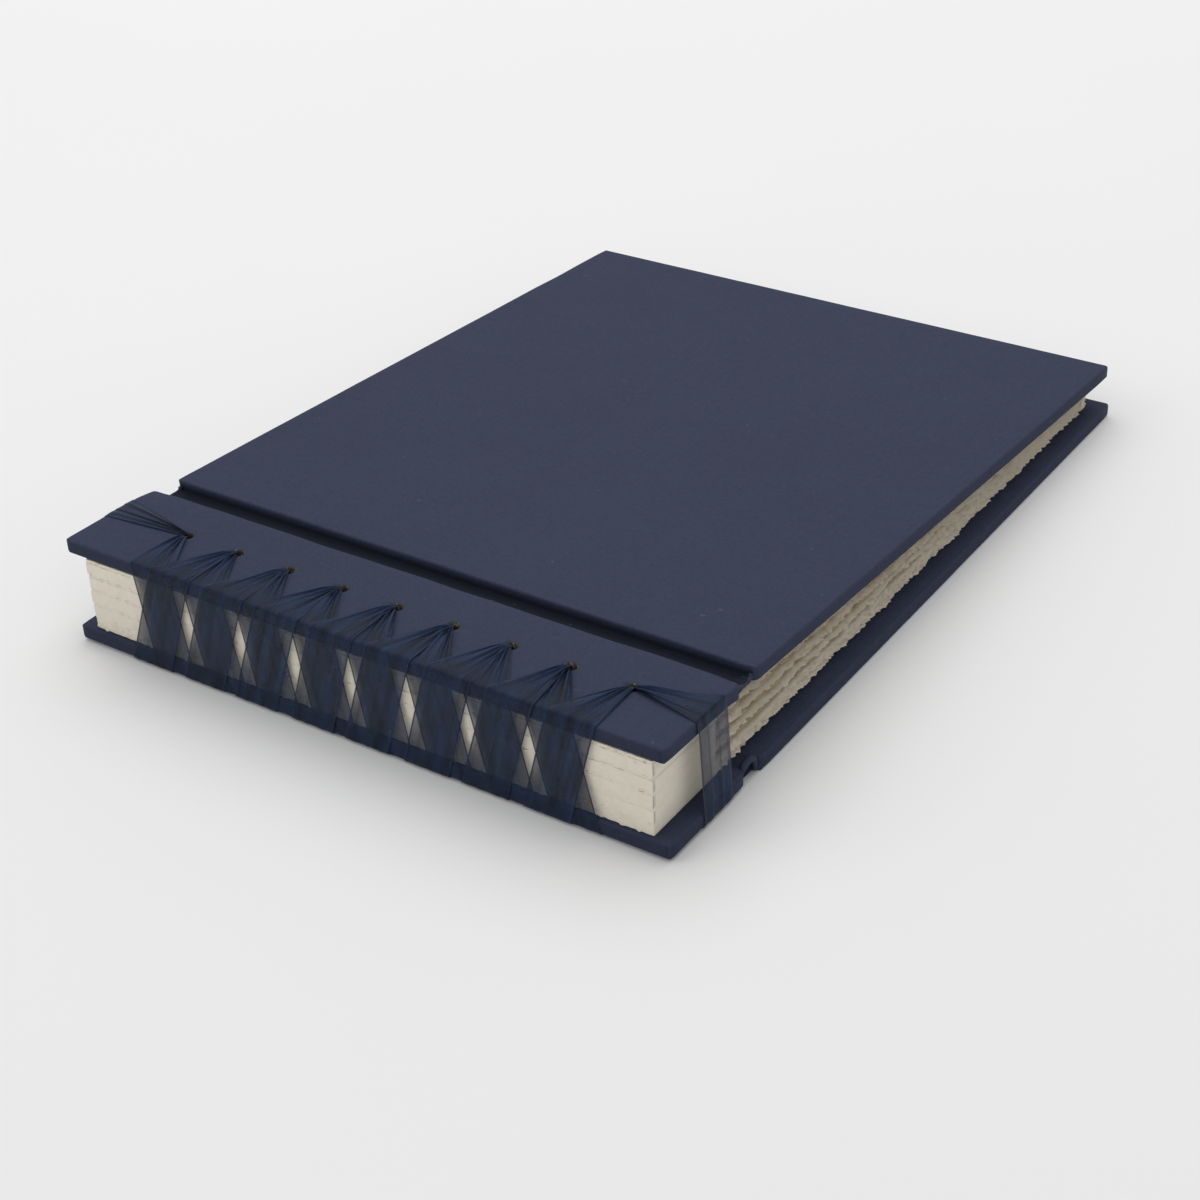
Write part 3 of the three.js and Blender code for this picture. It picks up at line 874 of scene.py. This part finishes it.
def make_guard(number, thickness, paper):
    """A folded paper guard between two gatherings at the spine: a flat solid whose faces follow the
    gatherings, clean at the tail and rough where it was torn along the spine."""
    low, high = node_box(f"guard_{number}")
    start = low[1] - SPINE_EDGE
    end = high[1] - SPINE_EDGE
    below_low, below_high = node_box(f"bound_leaves_{number}")
    above_low, above_high = node_box(f"bound_leaves_{number + 1}")
    piece = Piece(f"spine_guard_{number}")
    fold = below_high[1] - SPINE_EDGE
    below_thickness = thickness if number > 1 else below_high[2] - below_low[2]
    floor = np.array([below_high[2], below_low[2] + below_thickness])
    roof = np.array([above_high[2] - thickness, above_low[2]])
    along, rounded, drawn = panel_chain(start, end, 0.05, 1.6)
    gap = 0.07 if number > 2 else -0.02
    floor_up = np.interp(along, [start, fold], floor) + rounded - 0.02
    roof_up = np.interp(along, [start, fold], roof) - rounded - gap
    points, quads, places = carried_panel(
        (along, roof_up),
        (along, floor_up),
        drawn,
        lambda depth: low[0] - HEAD_PROUD + 0 * depth,
        lambda depth: high[0] + 0 * depth,
        0.12,
        230,
    )
    x, depth, up = points[..., 0], points[..., 1], points[..., 2]
    share = (up - up.min(1, keepdims=True)) / np.ptp(up, axis=1)[:, None]
    near_spine = smooth(start + 1.4, start + 0.2, depth)
    rough = 0.09 * ripple(x, (23, 7, 3.1, 1.9), number) + 0.10 * ripple(x + 5 * share, (2.3, 1.7, 5.3), number + 9)
    depth = depth + near_spine * rough * (0.35 + 1.2 * np.abs(share - 0.5))
    piece.add(np.stack([x, depth, up], -1), quads, places)
    return piece.finish(paper)


# Ribbon

EDGE_TURN = 0.6  # how tightly the ribbon turns round the covers' edges


def ribbon_sheet(name, sections, width, material, seed):
    """An open sheet swept through sections. Each section gives its two edges, the direction in which pleats
    stand, their height, and how strong its fold valleys are, where it hides more and takes painted shade and
    painted sheen; a point across it lies evenly between the edges, raised by uneven pleats. Its layers are the
    flat width over the gathered width."""
    low = np.array([section["low"] for section in sections])
    high = np.array([section["high"] for section in sections])
    out = np.array([section["out"] for section in sections], float)
    pleat = np.array([section["pleat"] for section in sections])[:, None]
    fold = np.array([section["fold"] for section in sections])[:, None]
    lift = np.array([section.get("lift", 0.0) for section in sections])[:, None]
    share = np.linspace(0, 1, 49)[None]
    steps = np.linalg.norm(np.diff((low + high) / 2, axis=0), axis=1)
    run = np.concatenate([[0], np.cumsum(steps)])[:, None]
    lap = np.array([section["lap"] for section in sections])[:, None]
    drift = 0.035 * np.sin(lap * 2.1 + seed + 9 * share) + 0.02 * np.sin(lap * 5.3 + 17 * share)
    phase = 2 * np.pi * (3.4 * (share + drift) + 0.37 * lap + 0.21 * seed)
    ridge = 0.5 + 0.5 * np.sin(phase)
    valley = (0.5 + 0.5 * np.sin(phase + 1.1)) ** 5
    second = (0.5 + 0.5 * np.sin(0.55 * phase + 2.3 * lap)) ** 5
    points = low[:, None] + (high - low)[:, None] * share[..., None]
    points = points + out[:, None] * (lift + pleat * ridge)[..., None]
    points[..., 2] = np.maximum(points[..., 2], 0.03)
    narrow = width / np.maximum(np.linalg.norm(high - low, axis=1), 0.5)[:, None]
    layers = np.clip(narrow, 0.9, 6) * (1 + 0.8 * valley * fold)
    # Painted shade in the fold valleys, for the ribbon's finish.
    folds = np.clip(fold * (valley * 0.95 + second * 0.4), 0, 1)
    # Painted sheen along one edge of the sheet, where it gathers towards the holes.
    shine = smooth(0.4, 0.9, fold) * (1 - share) ** 1.3
    piece = Piece(name)
    quads, _ = grid_quads(len(sections), 49)
    places = np.stack(np.broadcast_arrays(share * width, run), -1).reshape(-1, 2)
    piece.add(points, quads, places[quads], closed=False)
    made = piece.finish(material, attributes={"layers": layers + 0 * share, "folds": folds, "shine": shine})
    return made, float(run[-1, 0])


def path_section(low, high, out, pleat, fold, lap, lift=0.0):
    return {"low": low, "high": high, "out": out, "pleat": pleat, "fold": fold, "lap": lap, "lift": lift}


class Lacing:
    """Where the ribbon lies, in millimetres: off each cover by its layer, gathered at the holes."""

    def __init__(self, sizes):
        self.front = Cover("front")
        self.back = Cover("back")
        self.width = sizes.width / MM
        self.gathered = sizes.gathered_width / MM

    def fan(self, hole, hole_depth, low_x, high_x, off, top, lap, outward):
        """Sections from a hole over a cover's outer face to the spine edge, or back. The edges run straight
        from the gathered width to the full width."""
        cover = self.front if top else self.back
        side = 1 if top else -1
        sections = []
        for share in 1 - (1 - np.linspace(0, 1, 15)) ** 1.0:
            edge = EDGE_TURN + (0 if top else BACK_SHIFT[1])
            depth = hole_depth + (edge - hole_depth) * share
            low = (hole - self.gathered / 2) * (1 - share) + low_x * share
            high = (hole + self.gathered / 2) * (1 - share) + high_x * share
            up = cover.outer(depth) + side * off
            bow = 0.35 * np.sin(np.pi * share) if top else 0.0
            pleat = (0.75 if top else 0.22) * (1 - share) ** 0.8 + 0.13
            fold = 1.0 - 0.55 * share
            ends = [(low, depth, up + side * 0.3 * bow), (high, depth, up + side * 0.3 * bow)]
            sections.append(path_section(*ends, (0, 0, side), pleat * min(1, 4 * share + 0.35), fold, lap))
        return sections if outward else sections[::-1]

    def spine(self, low_top, low_bottom, off, lap):
        """Sections round the upper edge, down the spine and round the lower edge. The edges lean evenly."""
        radius = EDGE_TURN
        top = self.front.outer(0)
        bottom = self.back.outer(0)
        turns = np.linspace(0, np.pi / 2, 5)[1:]
        places = [(radius - (radius + off) * np.sin(a), top - radius + (radius + off) * np.cos(a)) for a in turns]
        back = BACK_SHIFT[1]
        places += [(-off + back * (top - up) / (top - bottom), up) for up in np.linspace(top - 2.0, bottom + 2.0, 11)]
        turns = np.linspace(0, np.pi / 2, 5)[:-1]
        places += [
            (back + radius - (radius + off) * np.cos(a), bottom + radius - (radius + off) * np.sin(a)) for a in turns
        ]
        sections = []
        for depth, up in places:
            share = np.clip((top - up) / (top - bottom), 0, 1)
            low = low_top + (low_bottom - low_top) * share
            out = np.array([0, depth - radius - 1, 0 if 2 < up < top - 2 else np.sign(up - 12) * 0.3])
            out = out / np.linalg.norm(out)
            fold = 0.28 + 0.15 * abs(2 * share - 1)
            ends = [(low, depth, up), (low + self.width, depth, up)]
            sections.append(path_section(*ends, tuple(out), 0.10, fold, lap))
        return sections

    def hole(self, x, depth, lap):
        """Sections up a hole, from the back cover's outer face to the front cover's."""
        top = self.front.outer(depth) - 0.15
        bottom = self.back.outer(depth) + 0.15
        sections = []
        for up in np.linspace(bottom, top, 15):
            ends = [(x - self.gathered / 2, depth, up), (x + self.gathered / 2, depth, up)]
            hidden = smooth(bottom, bottom + 4, up) * smooth(top, top - 4, up)
            sections.append(path_section(*ends, (0, -1, 0), 0.35 + 1.0 * hidden, 1.0, lap))
        return sections

    def run(self, name, holes, depth, off, low_top, low_bottom, material, seed):
        """A run: up through each hole, over the spine edge, down, and under to the next hole."""
        rng = np.random.default_rng(seed)
        sections = []
        for lap, hole in enumerate(holes):
            sections += self.hole(hole, depth, lap)
            if lap + 1 == len(holes):
                break
            spread = 0.03 * hole / self.width
            top_x = hole + low_top + 6 * spread + rng.uniform(-0.4, 0.4)
            bottom_x = hole + low_bottom + 15 * spread + rng.uniform(-0.4, 0.4)
            sections += self.fan(hole, depth, top_x, top_x + self.width, off, True, lap, True)
            sections += self.spine(top_x, bottom_x, off, lap)
            sections += self.fan(holes[lap + 1], depth, bottom_x, bottom_x + self.width, off, False, lap, False)
        return ribbon_sheet(name, sections, self.width, material, seed)

    def wrap(self, name, hole, side, start, folded, material, seed):
        """A wrap: from an end hole over the head or tail end of the strips and under to the same hole."""
        off = 0.18
        radius = EDGE_TURN
        front_edge = side * HALF_WIDTH - (HEAD_OVERHANG["front"] if side < 0 else 0)
        back_edge = side * HALF_WIDTH + BACK_SHIFT[0] - (HEAD_OVERHANG["back"] if side < 0 else 0)
        narrow = self.width * folded
        inner_x = hole + side * 0.8
        sections = []

        def at(x, low, high, up_low, up_high, out, pleat, fold):
            ends = [(x, low, up_low), (x, high, up_high)]
            ends = ends if side < 0 else ends[::-1]
            sections.append(path_section(*ends, out, pleat, fold, 0.0))

        def rise(cover, edge, way):
            for share in np.linspace(0, 1, 18)[::way]:
                x = inner_x + (edge - side * radius - inner_x) * share
                low = (HOLE_DEPTH - self.gathered / 2) * (1 - share) + start * share
                high = (HOLE_DEPTH + self.gathered / 2) * (1 - share) + (start + narrow) * share
                sense = cover.sense
                bow = sense * (off + (0.12 * np.sin(np.pi * share) if sense > 0 else 0))
                pleat = (0.7 if sense > 0 else 0.2) * (1 - share) ** 0.8 * min(1, 4 * share + 0.35) + 0.1
                at(x, low, high, cover.outer(low) + bow, cover.outer(high) + bow, (0, 0, sense), pleat, 1 - 0.4 * share)

        middle = self.front.outer(0) / 2
        near, far = HOLE_DEPTH - self.gathered / 2, HOLE_DEPTH + self.gathered / 2
        for up in np.linspace(middle + 0.4, self.front.outer(HOLE_DEPTH) - 0.2, 9):
            hidden = smooth(self.front.outer(HOLE_DEPTH), self.front.outer(HOLE_DEPTH) - 3, up)
            at(inner_x, near, far, up, up, (-side, 0, 0), 0.35 + 1.9 * hidden, 1.0)
        rise(self.front, front_edge, 1)
        high_edge = start + narrow
        top_low, top_high = self.front.outer(start), self.front.outer(high_edge)
        bottom = self.back.outer(start)
        for turn in np.linspace(0, np.pi / 2, 5)[1:]:
            x = front_edge - side * (radius - (radius + off) * np.sin(turn))
            down = radius - (radius + off) * np.cos(turn)
            at(x, start, high_edge, top_low - down, top_high - down, (side, 0, 0.2), 0.1, 0.5)
        for share in np.linspace(0.08, 0.92, 14):
            up_low = top_low + (bottom - top_low) * share
            up_high = top_high + (bottom - top_high) * share
            edge = front_edge + (back_edge - front_edge) * share
            at(edge + side * off, start, high_edge, up_low, up_high, (side, 0, 0), 0.18 + 1.6 * (1 - folded), 0.8)
        for turn in np.linspace(0, np.pi / 2, 5)[:-1]:
            x = back_edge - side * (radius - (radius + off) * np.cos(turn))
            up = bottom + radius - (radius + off) * np.sin(turn)
            at(x, start, high_edge, up, up, (side, 0, -0.2), 0.1, 0.5)
        rise(self.back, back_edge, -1)
        for up in np.linspace(self.back.outer(HOLE_DEPTH) + 0.2, middle - 0.4, 9):
            hidden = smooth(self.back.outer(HOLE_DEPTH), self.back.outer(HOLE_DEPTH) + 3, up)
            at(inner_x, near, far, up, up, (-side, 0, 0), 0.35 + 1.9 * hidden, 1.0)
        return ribbon_sheet(name, sections, self.width, material, seed)


# Operators


def sizes_of(context, name):
    return getattr(context.scene, name)


def make_board(side, part, sizes, material):
    """One raw board inside the cloth: a flat solid a little inside the cloth's skin, rounded like it."""
    cover = Cover(side)
    inset = 0.7
    spans = {"spine": (0, cover.strip_end), "main": (cover.main_start, cover.main_end)}
    start, end = spans[part]
    along, rounded, drawn = panel_chain(start + inset, end - inset, 0.5, 3.0)
    sag = 0.3 * smooth(end - 7, end, along) if part == "spine" and side == "front" else 0
    upper, lower = inset + rounded + sag, COVER_THICKNESS - inset - rounded
    if cover.sense < 0:
        upper, lower = lower, upper
    piece = Piece(f"{side}_{part}_card")
    corner = sizes.corner_radius / MM

    def reach(depth):
        from_edge = np.clip(np.minimum(depth - start, end - depth), 0, corner)
        return HALF_WIDTH - inset - corner + np.sqrt(corner**2 - (corner - from_edge) ** 2)

    points, quads, places = carried_panel(
        (along, cover.height(along, upper)),
        (along, cover.height(along, lower)),
        drawn,
        lambda depth: -reach(depth),
        reach,
        0.5,
        24,
    )
    piece.add(points + BACK_SHIFT * (side == "back"), quads, places)
    made = piece.finish(material)
    if part == "spine":
        punch_holes(made, cover, sizes.hole_radius / MM + 0.02, material)
    return made


class LOGBOOK_OT_covers(bpy.types.Operator):
    """Cover both sides' boards in cloth and finish the boards and linings"""

    bl_idname = "logbook.covers"
    bl_label = "Covers"

    def execute(self, context):
        sizes = context.scene.logbook_covers
        colours = context.scene.logbook_colours
        cloth = bookcloth_finish(tuple(colours.bookcloth))
        board = greyboard_finish(tuple(colours.greyboard))
        lining = paper_finish("lining_paper", tuple(colours.lining), 0.00004)
        for side in ("front", "back"):
            cover = Cover(side)
            made = make_cover(side, sizes, cloth, board)
            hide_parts(f"{side}_spine_cloth", f"{side}_hinge_cloth", f"{side}_main_cloth")
            up = float(cover.outer(cover.strip_end)) * MM
            rolls = make_hinge_rolls(side, cloth)
            for hinged in (made, rolls):
                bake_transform(hinged)
            for part, body in (("spine", "spine"), ("main", f"{side}_cover")):
                card = make_board(side, part, sizes, board)
                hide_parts(f"{side}_{part}_board")
                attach(card, body)
                repaint(f"{side}_{part}_lining", lining)
        return {"FINISHED"}


def repaint(node, material):
    """Gives a CAD node's object a finish."""
    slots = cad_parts[node].material_slots
    if not slots:
        raise RuntimeError(node + " has no material slot")
    for slot in slots:
        slot.material = material


class LOGBOOK_OT_leaves(bpy.types.Operator):
    """Make the gatherings of torn-edged leaves and the guards between them"""

    bl_idname = "logbook.leaves"
    bl_label = "Leaves"

    def execute(self, context):
        sizes = context.scene.logbook_leaves
        paper = paper_finish("leaf_paper", tuple(context.scene.logbook_colours.leaves), 0.00008)
        for number in GATHERINGS:
            made, gathering = make_gathering(number, sizes, paper)
            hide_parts(f"bound_leaves_{number}", f"free_leaves_{number}")
            up = float(gathering.floor(gathering.fold)) * MM
            start = (0, (SPINE_EDGE + gathering.fold - 2) * MM, up)
            end = (0, (SPINE_EDGE + gathering.fold + 3) * MM, up)
            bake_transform(made)
        for number in GUARDS:
            made = make_guard(number, sizes.gathering_thickness / MM, paper)
            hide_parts(f"guard_{number}")
            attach(made, "spine")
        return {"FINISHED"}


class LOGBOOK_OT_ribbon(bpy.types.Operator):
    """Lace the sheer ribbon through the holes and round the spine"""

    bl_idname = "logbook.ribbon"
    bl_label = "Ribbon"

    def execute(self, context):
        sizes = context.scene.logbook_ribbon
        colour_value = tuple(context.scene.logbook_colours.ribbon)
        material = ribbon_finish(colour_value, sizes.opacity, sizes.width, sizes.selvedge)
        lacing = Lacing(sizes)
        holes = hole_places()
        width = lacing.width
        made = {
            "ribbon_forward_run": lacing.run(
                "forward_lacing", holes, HOLE_DEPTH - 0.8, 0.12, -1.7, 3.9, material, 1
            ),
            "ribbon_return_run": lacing.run(
                "return_lacing", holes[::-1], HOLE_DEPTH - 0.45, 0.34, 0.9 - width, -7.0 - width, material, 2
            ),
            "ribbon_head_wrap": lacing.wrap("head_lacing", holes[0], -1, 12.8, 0.76, material, 3),
            "ribbon_tail_wrap": lacing.wrap("tail_lacing", holes[-1], 1, 11.5, 0.97, material, 4),
        }
        for node, (piece, run) in made.items():
            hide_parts(node)
            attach(piece, "spine")
            run * MM
        return {"FINISHED"}


class LOGBOOK_OT_stage(bpy.types.Operator):
    """Set the pale floor, the soft lights and the camera"""

    bl_idname = "logbook.stage"
    bl_label = "Stage"

    def execute(self, context):
        scene = context.scene
        piece = Piece("studio_floor")
        side = np.linspace(-4000, 4000, 9)
        x, y = np.meshgrid(side, side, indexing="ij")
        quads, _ = grid_quads(9, 9)
        piece.add(np.stack([x, y, 0 * x], -1), quads, closed=False)
        piece.finish(floor_finish())
        world = bpy.data.worlds.new("studio")
        world.use_nodes = True
        world.node_tree.nodes["Background"].inputs["Color"].default_value = (1.0, 1.0, 1.0, 1.0)
        world.node_tree.nodes["Background"].inputs["Strength"].default_value = 0.62
        scene.world = world
        scene.view_settings.view_transform = "Standard"
        self.light("key", (-0.35, 0.6, 1.5), 2.0, 12.5)
        self.light("fill", (-0.9, -0.9, 0.8), 0.9, 2.2)
        scene.camera = self.camera()
        return {"FINISHED"}

    def light(self, name, place, size, power):
        data = bpy.data.lights.new(name, "AREA")
        data.shape = "DISK"
        data.size = size
        data.energy = power
        made = bpy.data.objects.new(name, data)
        made.location = place
        made.rotation_euler = (-made.location).to_track_quat("-Z", "Y").to_euler()
        bpy.context.scene.collection.objects.link(made)

    def camera(self):
        """A long lens above the tail end of the spine, rolled slightly."""
        azimuth, elevation, roll = np.radians([34.78, 32.16, -2.49])
        back = np.array(
            [np.sin(azimuth) * np.cos(elevation), -np.cos(azimuth) * np.cos(elevation), np.sin(elevation)]
        )
        level = np.array([np.cos(azimuth), np.sin(azimuth), 0.0])
        above = np.cross(back, level)
        right = np.cos(roll) * level + np.sin(roll) * above
        up = np.cross(back, right)
        data = bpy.data.cameras.new("camera")
        data.lens = 67.49
        data.sensor_width = 36.0
        made = bpy.data.objects.new("camera", data)
        turn = np.eye(4)
        turn[:3, :3] = np.stack([right, up, back], 1)
        turn[:3, 3] = (0.26525, -0.39641, 0.27667)
        made.matrix_world = Matrix(turn.tolist())
        bpy.context.scene.collection.objects.link(made)
        return made


class LOGBOOK_PT_panel(bpy.types.Panel):
    """Pieces of the logbook"""

    bl_label = "Logbook"
    bl_idname = "LOGBOOK_PT_panel"
    bl_space_type = "VIEW_3D"
    bl_region_type = "UI"
    bl_category = "Logbook"

    def draw(self, context):
        for operator in OPERATORS:
            self.layout.operator(operator.bl_idname)


OPERATORS = (LOGBOOK_OT_covers, LOGBOOK_OT_leaves, LOGBOOK_OT_ribbon, LOGBOOK_OT_stage)
GROUPS = {
    "logbook_covers": LogbookCoverSizes,
    "logbook_leaves": LogbookLeafSizes,
    "logbook_ribbon": LogbookRibbonSizes,
    "logbook_colours": LogbookColours,
}


def register():
    for group in (*GROUPS.values(), *OPERATORS, LOGBOOK_PT_panel):
        bpy.utils.register_class(group)
    for name, group in GROUPS.items():
        setattr(bpy.types.Scene, name, bpy.props.PointerProperty(type=group))


def unregister():
    for name in GROUPS:
        delattr(bpy.types.Scene, name)
    for group in reversed((*GROUPS.values(), *OPERATORS, LOGBOOK_PT_panel)):
        bpy.utils.unregister_class(group)


def main():
    """Makes every piece in order."""
    register()
    bpy.ops.logbook.covers()
    bpy.ops.logbook.leaves()
    bpy.ops.logbook.ribbon()
    bpy.ops.logbook.stage()
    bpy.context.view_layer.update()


if __name__ == "__main__":
    main()
